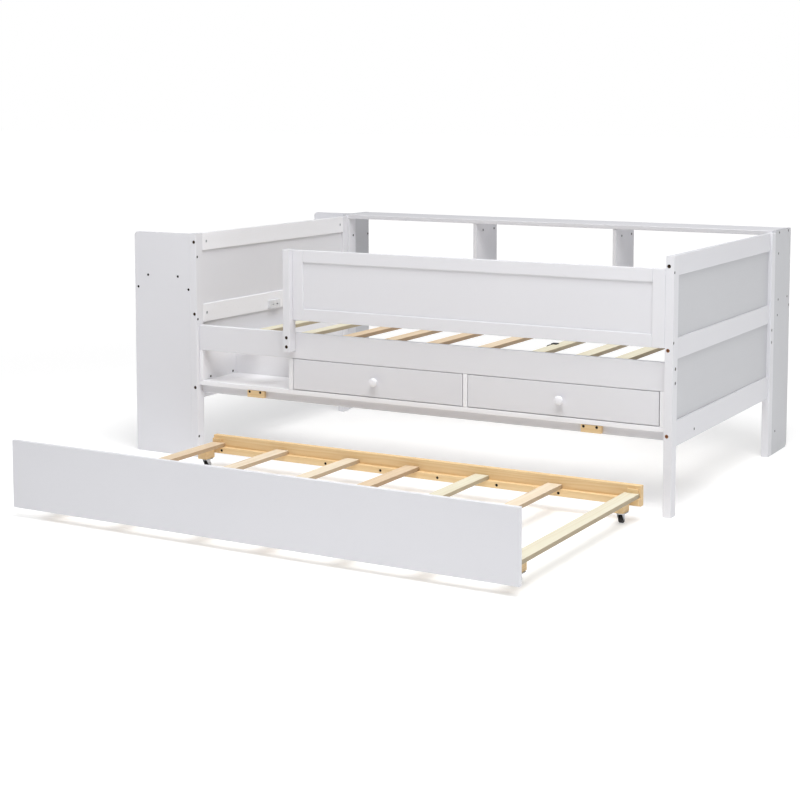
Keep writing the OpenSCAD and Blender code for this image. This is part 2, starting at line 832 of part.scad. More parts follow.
post_front_right();
post_back_right();
post_front_left();
post_back_left();
right_top_rail();
right_middle_rail();
right_bottom_rail();
right_panels();
left_top_rail();
left_middle_rail();
left_bottom_rail();
left_panels();
front_rail();
back_rail();
slat_ledgers();
bed_slats();
guard_post();
guard_frame();
guard_panel();
case_bottom();
case_partitions();
case_backs();
case_cleats();
drawer_runners();
lower_rail();
rail_blocks();
side_shelf_front_board();
side_shelf_rear_board();
side_shelf_board();
side_shelf_aprons();
back_shelf_ends();
back_shelf_top();
back_shelf_lower();
back_shelf_dividers();
back_shelf_apron();
back_shelf_battens();
frame_bolts();
frame_screws();
charging_socket();
cable_hook();
right_drawer_front();
right_drawer_box();
right_drawer_knob();
left_drawer_front();
left_drawer_box();
left_drawer_knob();
trundle_front_board();
trundle_back_rail();
trundle_ledgers();
trundle_slats();
trundle_blocks();
trundle_fittings();
front_right_fork();
front_right_wheel();
front_left_fork();
front_left_wheel();
back_right_fork();
back_right_wheel();
back_left_fork();
back_left_wheel();
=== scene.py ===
# A white painted trundle bed with pine slats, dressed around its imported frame.
import bmesh
import bpy
import json
import math
import random
from mathutils import Matrix, Vector


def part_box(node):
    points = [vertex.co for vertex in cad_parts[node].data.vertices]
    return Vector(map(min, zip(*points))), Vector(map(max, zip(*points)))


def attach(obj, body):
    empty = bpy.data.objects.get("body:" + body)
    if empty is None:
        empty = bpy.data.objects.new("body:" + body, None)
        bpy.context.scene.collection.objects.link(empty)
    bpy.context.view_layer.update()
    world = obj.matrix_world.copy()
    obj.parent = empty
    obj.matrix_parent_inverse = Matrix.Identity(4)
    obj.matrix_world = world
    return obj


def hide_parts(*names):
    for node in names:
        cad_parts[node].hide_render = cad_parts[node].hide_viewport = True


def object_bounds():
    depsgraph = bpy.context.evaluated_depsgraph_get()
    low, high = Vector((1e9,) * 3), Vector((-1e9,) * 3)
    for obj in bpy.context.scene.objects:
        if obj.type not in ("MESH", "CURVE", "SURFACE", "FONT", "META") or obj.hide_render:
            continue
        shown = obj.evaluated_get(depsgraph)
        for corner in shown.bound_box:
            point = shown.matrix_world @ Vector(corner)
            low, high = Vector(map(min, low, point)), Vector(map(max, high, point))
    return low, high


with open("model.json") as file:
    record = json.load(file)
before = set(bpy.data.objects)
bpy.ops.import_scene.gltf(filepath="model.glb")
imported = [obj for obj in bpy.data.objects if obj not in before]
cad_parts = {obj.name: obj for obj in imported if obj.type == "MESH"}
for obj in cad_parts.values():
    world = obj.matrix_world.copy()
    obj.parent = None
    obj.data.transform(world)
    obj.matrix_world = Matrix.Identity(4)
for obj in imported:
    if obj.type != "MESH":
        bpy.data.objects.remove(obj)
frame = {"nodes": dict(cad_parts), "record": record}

cadLow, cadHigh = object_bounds()
scene = bpy.context.scene
bodyOf = {node: body for body, nodes in frame["record"]["behaviour"]["bodies"].items() for node in nodes}
slotOf = {part["node"]: part["material_slot"] for part in frame["record"]["subparts"]}
print("frame loaded:", len(bodyOf), "sub-parts")


# ---- shader helpers ----

class Wire:
    # one socket of a node tree, or a number, that can be used in sums
    def __init__(self, kit, socket):
        self.kit = kit
        self.socket = socket

    def sum(self, operation, *others, swap=False):
        values = [self, *others]
        if swap:
            values.reverse()
        sockets = {i: value for i, value in enumerate(values)}
        return self.kit.node("ShaderNodeMath", {"operation": operation}, sockets)

    def __add__(self, other): return self.sum("ADD", other)
    def __radd__(self, other): return self.sum("ADD", other)
    def __sub__(self, other): return self.sum("SUBTRACT", other)
    def __rsub__(self, other): return self.sum("SUBTRACT", other, swap=True)
    def __mul__(self, other): return self.sum("MULTIPLY", other)
    def __rmul__(self, other): return self.sum("MULTIPLY", other)
    def __truediv__(self, other): return self.sum("DIVIDE", other)

    def high(self, other): return self.sum("MAXIMUM", other)
    def fract(self): return self.sum("FRACT")
    def size(self): return self.sum("ABSOLUTE")
    def root(self): return self.sum("SQRT")

    def ease(self, start, end):
        # 0 below start and 1 above end, or the reverse where start is the larger
        if start > end:
            return 1 - self.ease(end, start)
        return self.kit.node("ShaderNodeMapRange", {"interpolation_type": "SMOOTHSTEP"},
                             {"Value": self, "From Min": start, "From Max": end})


class Finish:
    # a material under construction
    def __init__(self, name):
        self.material = bpy.data.materials.new(name)
        self.material.use_nodes = True
        self.tree = self.material.node_tree
        self.tree.nodes.clear()

    def node(self, kind, settings=None, sockets=None, out=0):
        made = self.tree.nodes.new(kind)
        for key, value in (settings or {}).items():
            if key == "stops":
                ramp = made.color_ramp
                while len(ramp.elements) < len(value):
                    ramp.elements.new(0.5)
                for element, (place, colour) in zip(ramp.elements, value):
                    element.position = place
                    element.color = (*colour, 1)
            else:
                setattr(made, key, value)
        for key, value in (sockets or {}).items():
            target = made.inputs[key]
            if isinstance(value, Wire):
                self.tree.links.new(value.socket, target)
            elif isinstance(value, (tuple, list)) and target.type == "RGBA":
                target.default_value = (*value, 1)[:4]
            else:
                target.default_value = value
        return Wire(self, made.outputs[out]) if made.outputs else None

    def attribute(self, name, out):
        return self.node("ShaderNodeAttribute", {"attribute_name": name}, out=out)

    def parts(self, vector):
        split = self.node("ShaderNodeSeparateXYZ", None, {0: vector})
        return [Wire(self, split.socket.node.outputs[i]) for i in range(3)]

    def vector(self, x, y, z):
        return self.node("ShaderNodeCombineXYZ", None, {0: x, 1: y, 2: z})

    def noise(self, vector, scale, detail):
        return self.node("ShaderNodeTexNoise", {"noise_dimensions": "3D"},
                         {"Vector": vector, "Scale": scale, "Detail": detail, "Roughness": 0.5})

    def mix(self, factor, first, second, blend="MIX"):
        made = self.tree.nodes.new("ShaderNodeMix")
        made.data_type = "RGBA"
        made.blend_type = blend
        for index, value in ((0, factor), (6, first), (7, second)):
            if isinstance(value, Wire):
                self.tree.links.new(value.socket, made.inputs[index])
            elif index:
                made.inputs[index].default_value = (*value, 1)
            else:
                made.inputs[index].default_value = value
        return Wire(self, made.outputs[2])

    def bump(self, height, strength, distance):
        return self.node("ShaderNodeBump", None, {"Height": height, "Strength": strength, "Distance": distance})

    def close(self, **sockets):
        named = {label.replace("_", " "): value for label, value in sockets.items()}
        shader = self.node("ShaderNodeBsdfPrincipled", None, named)
        self.node("ShaderNodeOutputMaterial", None, {"Surface": shader})
        return self.material


def linear(*rgb):
    # 0 to 255 display values as scene colour
    return tuple(((v / 255 + 0.055) / 1.055) ** 2.4 if v > 10 else v / 255 / 12.92 for v in rgb)


# ---- finishes ----

def boardAxes(kit):
    # along, across and through the board, in metres from its middle, and a number of its own
    place = kit.attribute("boardPlace", 1)
    tone = kit.attribute("boardTone", 2)
    along, across, through = kit.parts(place)
    return along, across, through, tone


paint = {"colour": (227, 227, 231), "shade": (221, 221, 226), "speck": (218, 218, 224), "roughness": 0.42,
         "brushScale": 260, "poreScale": 900, "grainDepth": 0.00012, "coat": 0.12, "coatRoughness": 0.3}


def whitePaint(name, colour, shade):
    kit = Finish(name)
    along, across, through, tone = boardAxes(kit)
    here = kit.node("ShaderNodeTexCoord", out=3)
    cloud = kit.noise(here, 2.6, 3)
    speck = kit.noise(here, 90, 2)
    shift = tone * 7
    brush, pore = paint["brushScale"], paint["poreScale"]
    fibre = kit.noise(kit.vector(along * 5 + shift, across * brush, through * brush), 1, 3)
    pores = kit.noise(kit.vector(along * 22 + shift, across * pore, through * pore), 1, 2)
    body = kit.mix(cloud * 0.6 + tone * 0.4, linear(*colour), linear(*shade))
    body = kit.mix(speck.ease(0.62, 0.8) * 0.25, body, linear(*paint["speck"]))
    height = fibre * 0.7 + pores.ease(0.55, 0.75) * -0.5
    rough = paint["roughness"] + (fibre - 0.5) * 0.16 + (cloud - 0.5) * 0.1
    return kit.close(Base_Color=body, Roughness=rough, Normal=kit.bump(height, 0.35, paint["grainDepth"]),
                     Coat_Weight=paint["coat"], Coat_Roughness=paint["coatRoughness"])


timber = {"ringGap": 0.0052, "pithDepth": 0.05, "knotSpacing": 0.31, "fibreScale": 420, "roughness": 0.6,
          "grainDepth": 0.00025}


def pineWood(name, early, late, knot, stops=None, shadedSides=None):
    kit = Finish(name)
    along, across, through, tone = boardAxes(kit)
    shift = tone * 13
    warp = kit.noise(kit.vector(along * 1.4 + shift, across * 6, through * 6), 1, 2)
    # growth rings round a pith that lies outside the board
    deep = through + timber["pithDepth"] + tone * 0.03
    side = across + (warp - 0.5) * 0.05 + (tone - 0.5) * 0.06
    ring = ((side * side + deep * deep).root() / timber["ringGap"]).fract()
    lateWood = ring.ease(0.25, 0.88) * ring.ease(1.0, 0.9)
    fine = timber["fibreScale"]
    fibre = kit.noise(kit.vector(along * 9 + shift, across * fine, through * fine), 1, 3)
    streak = kit.noise(kit.vector(along * 1.1 + shift, across * 55, through * 55), 1, 2)
    knots = kit.node("ShaderNodeTexVoronoi", {"voronoi_dimensions": "3D"}, {
        "Vector": kit.vector(along / timber["knotSpacing"] + shift, across * 14, through * 4), "Scale": 1.0,
        "Randomness": 0.9})
    heart = knots.ease(0.17, 0.1)
    halo = knots.ease(0.3, 0.12)
    body = kit.mix(lateWood * 0.32 + streak * 0.3, early, late)
    if stops:
        body = kit.mix(0.75, body, kit.node("ShaderNodeValToRGB", {"stops": stops}, {0: tone}), "MULTIPLY")
    body = kit.mix((fibre - 0.35).high(0) * 0.5, body, late, "MULTIPLY")
    body = kit.mix(halo * 0.4 * tone.ease(0.2, 0.5), body, knot, "MULTIPLY")
    body = kit.mix(heart * 0.8 * tone.ease(0.2, 0.5), body, knot)
    if shadedSides:
        # the long side faces are darkened: painted shade, standing in for the shade that falls on the slats'
        # sides
        start, end, colour = shadedSides
        edge = across.size().ease(start, end)
        body = kit.mix(edge * 0.85, body, colour, "MULTIPLY")
    height = fibre * 0.8 + lateWood * 0.35 + streak * 0.3
    rough = timber["roughness"] + (fibre - 0.5) * 0.25 - heart * 0.15
    return kit.close(Base_Color=body, Roughness=rough, Normal=kit.bump(height, 0.5, timber["grainDepth"]))


def worked(name, bright, dull, metal, roughness, scale):
    # metal or plastic with fine marks
    kit = Finish(name)
    here = kit.node("ShaderNodeTexCoord", out=3)
    cloud = kit.noise(here, scale, 3)
    fine = kit.noise(here, scale * 9, 2)
    body = kit.mix(cloud.ease(0.35, 0.7), bright, dull)
    rough = roughness + (fine - 0.5) * 0.2 + (cloud - 0.5) * 0.12
    return kit.close(Base_Color=body, Roughness=rough, Metallic=metal, Normal=kit.bump(fine, 0.25, 0.0001))


# from greenish cream over pinkish cream to tan; painted shade then darkens the long side faces
slatStops = [(0.0, linear(214, 218, 203)), (0.25, linear(217, 215, 200)), (0.5, linear(228, 213, 195)),
             (0.75, linear(219, 198, 170)), (1.0, linear(209, 181, 146))]
finishes = {
    "white_paint": whitePaint("whitePaint", paint["colour"], paint["shade"]),
    "knob_paint": whitePaint("knobPaint", (240, 240, 244), (232, 232, 238)),
    # a darker copy of the white paint: partly a greyer board, partly painted shade on recessed and shaded faces
    "panel_paint": whitePaint("panelPaint", (203, 204, 208), (197, 198, 202)),
    # a lighter copy of the white paint: painted light that lifts the shade inside the case and on the inner left
    # rails
    "bright_paint": whitePaint("brightPaint", (244, 244, 247), (240, 240, 244)),
    "pine": pineWood("warmPine", linear(232, 205, 160), linear(213, 176, 122), linear(124, 80, 44)),
    # the last tuple of slatPine darkens the slats' long side faces: painted shade
    "slat_wood": pineWood("slatPine", linear(247, 243, 233), linear(228, 214, 190), linear(150, 110, 74),
                          slatStops, (0.0263, 0.0277, linear(196, 182, 166))),
    "screw_steel": worked("blackenedSteel", linear(30, 27, 25), linear(18, 17, 17), 0.35, 0.6, 140),
    "bronze_steel": worked("bronzePlate", linear(176, 120, 84), linear(140, 88, 60), 0.7, 0.42, 140),
    "dark_steel": worked("bronzedSteel", linear(92, 74, 62), linear(48, 42, 40), 0.85, 0.42, 140),
    "zinc_steel": worked("zincSteel", linear(200, 202, 206), linear(150, 154, 160), 0.9, 0.34, 90),
    "white_plastic": worked("whitePlastic", linear(228, 229, 232), linear(216, 217, 221), 0.0, 0.4, 60),
    "black_plastic": worked("blackRubber", linear(34, 34, 36), linear(22, 22, 24), 0.0, 0.5, 120),
}
print("finishes made:", len(finishes))


# ---- mesh helpers ----

def islandsOf(bm):
    bm.verts.ensure_lookup_table()
    seen = set()
    found = []
    for start in bm.verts:
        if start in seen:
            continue
        seen.add(start)
        island, edge = [start], [start]
        while edge:
            for link in edge.pop().link_edges:
                for vert in link.verts:
                    if vert not in seen:
                        seen.add(vert)
                        island.append(vert)
                        edge.append(vert)
        found.append(island)
    return found


def boxOf(points):
    low = Vector([min(p[i] for p in points) for i in range(3)])
    high = Vector([max(p[i] for p in points) for i in range(3)])
    return low, high


def markBoards(bm, seed, tones=None):
    # every board carries its own axes, so that the grain runs along it, and a tone
    # of its own, which is given from left to right or drawn
    placeLayer = bm.verts.layers.float_vector.new("boardPlace")
    toneLayer = bm.verts.layers.float.new("boardTone")
    draw = random.Random(seed)
    islands = islandsOf(bm)
    if tones:
        islands.sort(key=lambda island: min(v.co.x for v in island))
    for index, island in enumerate(islands):
        low, high = boxOf([v.co for v in island])
        middle, spread = (low + high) / 2, high - low
        order = sorted(range(3), key=lambda i: -spread[i])
        tone = tones[index] if tones else draw.random()
        for vert in island:
            offset = vert.co - middle
            vert[placeLayer] = Vector([offset[i] for i in order])
            vert[toneLayer] = tone


def finishPiece(name, bm, material, body, nodes=(), smooth=None):
    mesh = bpy.data.meshes.new(name)
    bm.to_mesh(mesh)
    bm.free()
    piece = bpy.data.objects.new(name, mesh)
    scene.collection.objects.link(piece)
    mesh.materials.clear()
    mesh.materials.append(finishes[material])
    for polygon in mesh.polygons:
        polygon.use_smooth = bool(smooth)
    if smooth:
        mesh.set_sharp_from_angle(angle=math.radians(smooth))
    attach(piece, body)
    if nodes:
        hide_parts(*nodes)
    return piece


def meshOfNode(node):
    bm = bmesh.new()
    bm.from_mesh(frame["nodes"][node].data)
    bmesh.ops.remove_doubles(bm, verts=bm.verts, dist=2e-6)
    bmesh.ops.dissolve_limit(bm, angle_limit=math.radians(0.5), verts=bm.verts, edges=bm.edges)
    return bm


def outerEdges(island, sharpest=40):
    # edges between two faces that both lie on the outside of the board; hole rims and grooves aren't among them
    points = [v.co for v in island]
    faces = {f for v in island for f in v.link_faces}
    outside = {f for f in faces if max(f.normal.dot(p - f.verts[0].co) for p in points) < 2e-5}
    return sorted((e for e in {e for v in island for e in v.link_edges}
                   if len(e.link_faces) == 2 and all(f in outside for f in e.link_faces)
                   and e.calc_face_angle(0) > math.radians(sharpest)), key=lambda e: e.index)


def roomBeside(island, edges):
    # the least distance from the chosen edges to a hole's rim or another corner of the board
    taken = {v for e in edges for v in e.verts}
    rims = [v.co for v in island if v not in taken]
    room = 1.0
    for edge in edges:
        start, along = edge.verts[0].co, edge.verts[1].co - edge.verts[0].co
        squared = along.length_squared
        for point in rims:
            share = min(1.0, max(0.0, (point - start).dot(along) / squared))
            gap = (start + along * share - point).length
            if gap > 1e-5:
                room = min(room, gap)
    return room


softening = {"steps": 2, "shareOfRoom": 0.4, "least": 0.0002}


def soften(bm, radius):
    # rounds the outer edges of every board, as far as the room beside them allows
    bm.edges.index_update()
    bm.normal_update()
    jobs = {}
    for island in islandsOf(bm):
        edges = outerEdges(island)
        fitting = round(min(radius, softening["shareOfRoom"] * roomBeside(island, edges)), 5)
        jobs.setdefault(fitting, []).extend(edges)
    for fitting, edges in jobs.items():
        if fitting > softening["least"]:
            bmesh.ops.bevel(bm, geom=edges, offset=fitting, offset_type="OFFSET", segments=softening["steps"],
                            profile=0.5, affect="EDGES", clamp_overlap=False)


# ---- boards ----

boards = {
    "edgeRadius": 0.002,
    "fineRadius": 0.0008,       # for thin panels and small blocks
    "fine": ("right_panels", "left_panels", "guard_panel", "rail_blocks", "trundle_blocks", "charging_socket",
             "cable_hook", "case_backs", "drawer_runners"),
    # boards that have a paint of their own; the darker copy is partly a greyer board and partly painted shade
    "paints": {"right_panels": "panel_paint", "back_shelf_ends": "panel_paint",
               # the lighter paint here is painted light against the shade on the inner left rails and inside the
               # case
               "left_top_rail": "bright_paint", "left_middle_rail": "bright_paint",
               "case_backs": "bright_paint", "case_bottom": "bright_paint", "case_partitions": "bright_paint"},
    # made in sections of their own, further down
    "madeBelow": ("_slats", "frame_screws", "frame_bolts", "_drawer_box", "_drawer_knob", "_fork", "_wheel",
                  "_fittings"),
}


def camel(node):
    first, *rest = node.split("_")
    return first + "".join(word.capitalize() for word in rest)


def makeBoards():
    count = 0
    for index, (node, body) in enumerate(bodyOf.items()):
        if node.endswith(boards["madeBelow"]):
            continue
        bm = meshOfNode(node)
        markBoards(bm, 100 + index)
        soften(bm, boards["fineRadius"] if node in boards["fine"] else boards["edgeRadius"])
        finishPiece(camel(node), bm, boards["paints"].get(node, slotOf[node]), body, [node])
        count += 1
    print("boards softened:", count)


makeBoards()


# ---- fasteners, by geometry nodes ----

def treeWith(name, inputs):
    # a geometry tree with one geometry input and named inputs for its sizes
    tree = bpy.data.node_groups.new(name, "GeometryNodeTree")
    tree.interface.new_socket("Geometry", in_out="INPUT", socket_type="NodeSocketGeometry")
    for label, (kind, value) in inputs.items():
        made = tree.interface.new_socket(label, in_out="INPUT", socket_type="NodeSocket" + kind)
        if value is not None:
            made.default_value = value
    tree.interface.new_socket("Geometry", in_out="OUTPUT", socket_type="NodeSocketGeometry")
    start = tree.nodes.new("NodeGroupInput")
    end = tree.nodes.new("NodeGroupOutput")
    return tree, start, end


def add(tree, kind, links=None, **settings):
    made = tree.nodes.new(kind)
    for key, value in settings.items():
        setattr(made, key, value)
    for key, value in (links or {}).items():
        if isinstance(value, bpy.types.NodeSocket):
            tree.links.new(value, made.inputs[key])
        else:
            made.inputs[key].default_value = value
    return made


def scatterTree():
    # stands a copy of the pattern on every point, its +Z along the point's facing
    tree, start, end = treeWith("scatterFasteners", {
        "Pattern": ("Object", None), "Size": ("Float", 1.0), "Turn Seed": ("Int", 5),
        "Material": ("Material", None)})
    facing = add(tree, "GeometryNodeInputNamedAttribute", {"Name": "facing"}, data_type="FLOAT_VECTOR")
    aim = add(tree, "FunctionNodeAlignRotationToVector", {"Vector": facing.outputs["Attribute"]}, axis="Z")
    turn = add(tree, "FunctionNodeRandomValue", {"Seed": start.outputs["Turn Seed"]}, data_type="FLOAT")
    turn.inputs[3].default_value = math.tau
    spin = add(tree, "FunctionNodeAxisAngleToRotation", {"Axis": (0, 0, 1), "Angle": turn.outputs[1]})
    both = add(tree, "FunctionNodeRotateRotation",
               {"Rotation": aim.outputs[0], "Rotate By": spin.outputs[0]}, rotation_space="LOCAL")
    pattern = add(tree, "GeometryNodeObjectInfo", {"Object": start.outputs["Pattern"]})
    stood = add(tree, "GeometryNodeInstanceOnPoints", {
        "Points": start.outputs["Geometry"], "Instance": pattern.outputs["Geometry"],
        "Rotation": both.outputs[0], "Scale": start.outputs["Size"]})
    real = add(tree, "GeometryNodeRealizeInstances", {"Geometry": stood.outputs["Instances"]})
    dressed = add(tree, "GeometryNodeSetMaterial",
                  {"Geometry": real.outputs["Geometry"], "Material": start.outputs["Material"]})
    tree.links.new(dressed.outputs["Geometry"], end.inputs[0])
    return tree


def plainMesh(name, mesh, tree, values):
    # runs the tree on a mesh and gives its result back as a bmesh
    carrier = bpy.data.objects.new(name, mesh)
    scene.collection.objects.link(carrier)
    modifier = carrier.modifiers.new("nodes", "NODES")
    modifier.node_group = tree
    for item in tree.interface.items_tree:
        if item.in_out == "INPUT" and item.name in values:
            modifier[item.identifier] = values[item.name]
    carrier.update_tag()
    seen = bpy.context.evaluated_depsgraph_get()
    result = bpy.data.meshes.new_from_object(carrier.evaluated_get(seen), preserve_all_data_layers=True,
                                             depsgraph=seen)
    bpy.data.objects.remove(carrier)
    bm = bmesh.new()
    bm.from_mesh(result)
    return bm


def pointMesh(name, places):
    # places are (point, facing) pairs
    mesh = bpy.data.meshes.new(name)
    mesh.from_pydata([p for p, f in places], [], [])
    layer = mesh.attributes.new("facing", "FLOAT_VECTOR", "POINT")
    layer.data.foreach_set("vector", [c for p, f in places for c in f])
    return mesh


def ring(bm, radius, height, count, turn=0.0):
    return [bm.verts.new((radius * math.cos(turn + math.tau * i / count),
                          radius * math.sin(turn + math.tau * i / count), height)) for i in range(count)]


def loopEdges(bm, verts):
    return [bm.edges.get((a, b)) or bm.edges.new((a, b)) for a, b in zip(verts, verts[1:] + verts[:1])]


def wall(bm, lower, upper):
    for i in range(len(lower)):
        j = (i + 1) % len(lower)
        bm.faces.new((lower[i], lower[j], upper[j], upper[i]))


def headPattern(name, size, recess, steps):
    # a fastener's head with a recess: rings for its side, a bridged top face, and the recess's walls and floor
    bm = bmesh.new()
    rings = [ring(bm, r, z, steps) for r, z in size["side"]]
    for lower, upper in zip(rings, rings[1:]):
        wall(bm, lower, upper)
    bm.faces.new(list(reversed(rings[0])))
    top = size["side"][-1][1]
    mouth = [bm.verts.new((x, y, top)) for x, y in recess]
    foot = [bm.verts.new((x * size["taper"], y * size["taper"], top - size["depth"])) for x, y in recess]
    bmesh.ops.bridge_loops(bm, edges=loopEdges(bm, rings[-1]) + loopEdges(bm, mouth))
    wall(bm, mouth, foot)
    bm.faces.new(foot)
    bmesh.ops.recalc_face_normals(bm, faces=bm.faces)
    mesh = bpy.data.meshes.new(name)
    bm.to_mesh(mesh)
    bm.free()
    pattern = bpy.data.objects.new(name, mesh)
    scene.collection.objects.link(pattern)
    return pattern


screwHead = {"side": ((0.0022, -0.0035), (0.0048, -0.0006), (0.0051, -0.0003), (0.0048, 0.0)),
             "depth": 0.0018, "taper": 0.6, "arm": 0.0031, "slot": 0.0008}
boltHead = {"side": ((0.0062, -0.005), (0.0065, -0.0046), (0.0065, -0.0007), (0.0058, 0.0)),
            "depth": 0.0028, "taper": 0.96, "key": 0.0029}
nutEnd = {"side": ((0.0057, -0.013), (0.006, -0.0127), (0.006, -0.0005), (0.0055, 0.0)),
          "depth": 0.0014, "taper": 0.95, "slotLength": 0.0046, "slot": 0.0009}
# a solid wider than widest is no fastener, and a head whose radius is over boltRadius is a bolt's;
# nuts right of nutSplit of the width face left and the others right; the low bolts at the right front are bronzed
sorting = {"widest": 0.015, "boltRadius": 0.0058, "even": 1e-4, "nutSplit": 0.6, "bronzedWithin": 0.06,
           "bronzedBelow": 0.6}


def crossOutline(arm, slot):
    quarter = [(arm, -slot), (arm, slot), (slot, slot)]
    points = []
    for turn in range(4):
        c, s = round(math.cos(turn * math.pi / 2)), round(math.sin(turn * math.pi / 2))
        points += [(x * c - y * s, x * s + y * c) for x, y in quarter]
    return points


def fastenersOf(node):
    # the kind, head point and outward facing of every screw, bolt and nut in a node
    bm = meshOfNode(node)
    found = []
    for island in islandsOf(bm):
        points = [v.co.copy() for v in island]
        low, high = boxOf(points)
        spread = high - low
        axis = max(range(3), key=lambda i: spread[i])
        middle = (low + high) / 2
        if sorted(spread)[1] > sorting["widest"]:
            continue
        reach = {}
        for sign, end in ((-1, low[axis]), (1, high[axis])):
            near = [p for p in points if abs(p[axis] - end) < 0.25 * spread[axis]]
            reach[sign] = max(Vector([p[i] - middle[i] for i in range(3) if i != axis]).length for p in near)
        if abs(reach[1] - reach[-1]) < sorting["even"]:
            sign = -1 if middle.x > cadLow.x + sorting["nutSplit"] * (cadHigh.x - cadLow.x) else 1
            kind = "nut"
        else:
            sign = 1 if reach[1] > reach[-1] else -1
            kind = "bolt" if reach[sign] > sorting["boltRadius"] else "screw"
        head = middle.copy()
        head[axis] = (high if sign > 0 else low)[axis]
        facing = Vector((0, 0, 0))
        facing[axis] = sign
        found.append((kind, head, facing))
    bm.free()
    return found


slatFixing = {"insets": {"bed_slats": 0.014, "trundle_slats": 0.013}, "across": (0.3, 0.7), "sunk": 0.0002,
              "size": 0.75}


def slatScrews(node):
    # two screws at both ends of every slat of a node, a little below its top
    inset, up = slatFixing["insets"][node], Vector((0, 0, 1))
    bm = meshOfNode(node)
    places = []
    for island in islandsOf(bm):
        low, high = boxOf([v.co for v in island])
        for y in (low.y + inset, high.y - inset):
            for share in slatFixing["across"]:
                place = Vector((low.x + share * (high.x - low.x), y, high.z))
                places.append((place - up * slatFixing["sunk"], up))
    bm.free()
    return places


def headPatterns():
    key, length, width = boltHead["key"], nutEnd["slotLength"], nutEnd["slot"]
    hexagon = [(key * math.cos(a * math.pi / 3), key * math.sin(a * math.pi / 3)) for a in range(6)]
    groove = [(x * length, y * width) for x, y in ((-1, -1), (1, -1), (1, 1), (-1, 1))]
    return {
        "screw": headPattern("screwPattern", screwHead, crossOutline(screwHead["arm"], screwHead["slot"]), 20),
        "bolt": headPattern("boltPattern", boltHead, hexagon, 24),
        "nut": headPattern("nutPattern", nutEnd, groove, 24),
    }


def bronzed(place):
    head, facing = place
    nearRight = head.x > cadHigh.x - sorting["bronzedWithin"]
    return facing.y < -0.5 and nearRight and head.z < sorting["bronzedBelow"]


def makeFasteners():
    tree = scatterTree()
    patterns = headPatterns()
    sets = {"screw": [], "bolt": [], "nut": []}
    for node in ("frame_screws", "frame_bolts"):
        for kind, head, facing in fastenersOf(node):
            sets[kind].append((head, facing))
    ledger = [(head, facing) for kind, head, facing in fastenersOf("trundle_fittings") if kind == "screw"]
    bronze = [place for place in sets["bolt"] if bronzed(place)]
    plain = [place for place in sets["bolt"] if not bronzed(place)]
    dark, bright, small = ("screw_steel", "dark_steel"), ("zinc_steel", "zinc_steel"), slatFixing["size"]
    # name, pattern, places, finish and slot, body, replaced nodes, size
    jobs = [("frameScrews", "screw", sets["screw"], dark, "frame", ["frame_screws"], 1.0),
            ("frameBolts", "bolt", plain, ("dark_steel", "dark_steel"), "frame", ["frame_bolts"], 1.0),
            ("bronzeBolts", "bolt", bronze, ("bronze_steel", "dark_steel"), "frame", [], 1.0),
            ("barrelNuts", "nut", sets["nut"], bright, "frame", [], 1.0),
            ("bedSlatScrews", "screw", slatScrews("bed_slats"), bright, "frame", [], small),
            ("trundleSlatScrews", "screw", slatScrews("trundle_slats"), bright, "trundle", [], small),
            ("ledgerScrews", "screw", ledger, dark, "trundle", [], 1.0)]
    for seed, (name, kind, places, (material, slot), body, nodes, size) in enumerate(jobs):
        bm = plainMesh(name + "Points", pointMesh(name + "Points", places), tree, {
            "Pattern": patterns[kind], "Size": size, "Turn Seed": seed, "Material": finishes[material]})
        finishPiece(name, bm, material, body, nodes)
    for pattern in patterns.values():
        bpy.data.objects.remove(pattern)
    print("fasteners made:", {kind: len(found) for kind, found in sets.items()})


makeFasteners()


# ---- slats, by geometry nodes ----

slats = {"edgeRadius": 0.0022, "fan": 0.0012, "endGap": 0.001, "seeds": {"bed_slats": 3, "trundle_slats": 8},
         # tones along the ramp, from the left slat to the right one
         "tones": {"bed_slats": (0.1, 0.14, 0.95, 0.82, 0.9, 0.7, 0.12, 0.2, 0.15, 0.78),
                   "trundle_slats": (0.85, 0.48, 0.42, 0.95, 0.12, 0.46, 0.16)}}


def slatTree():
    # a bar on every point, turned a little at random
    tree, start, end = treeWith("layOutSlats", {
        "Length": ("Float", 1.0), "Width": ("Float", 0.05), "Thickness": ("Float", 0.015),
        "Fan": ("Float", 0.0), "Seed": ("Int", 1), "Material": ("Material", None)})
    size = add(tree, "ShaderNodeCombineXYZ", {
        0: start.outputs["Width"], 1: start.outputs["Length"], 2: start.outputs["Thickness"]})
    bar = add(tree, "GeometryNodeMeshCube", {"Size": size.outputs[0]})
    least = add(tree, "ShaderNodeMath", {0: start.outputs["Fan"], 1: -1.0}, operation="MULTIPLY")
    turn = add(tree, "FunctionNodeRandomValue", {"Seed": start.outputs["Seed"]}, data_type="FLOAT")
    tree.links.new(least.outputs[0], turn.inputs[2])
    tree.links.new(start.outputs["Fan"], turn.inputs[3])
    spin = add(tree, "FunctionNodeAxisAngleToRotation", {"Axis": (0, 0, 1), "Angle": turn.outputs[1]})
    laid = add(tree, "GeometryNodeInstanceOnPoints", {
        "Points": start.outputs["Geometry"], "Instance": bar.outputs["Mesh"], "Rotation": spin.outputs[0]})
    real = add(tree, "GeometryNodeRealizeInstances", {"Geometry": laid.outputs["Instances"]})
    dressed = add(tree, "GeometryNodeSetMaterial",
                  {"Geometry": real.outputs["Geometry"], "Material": start.outputs["Material"]})
    tree.links.new(dressed.outputs["Geometry"], end.inputs[0])
    return tree


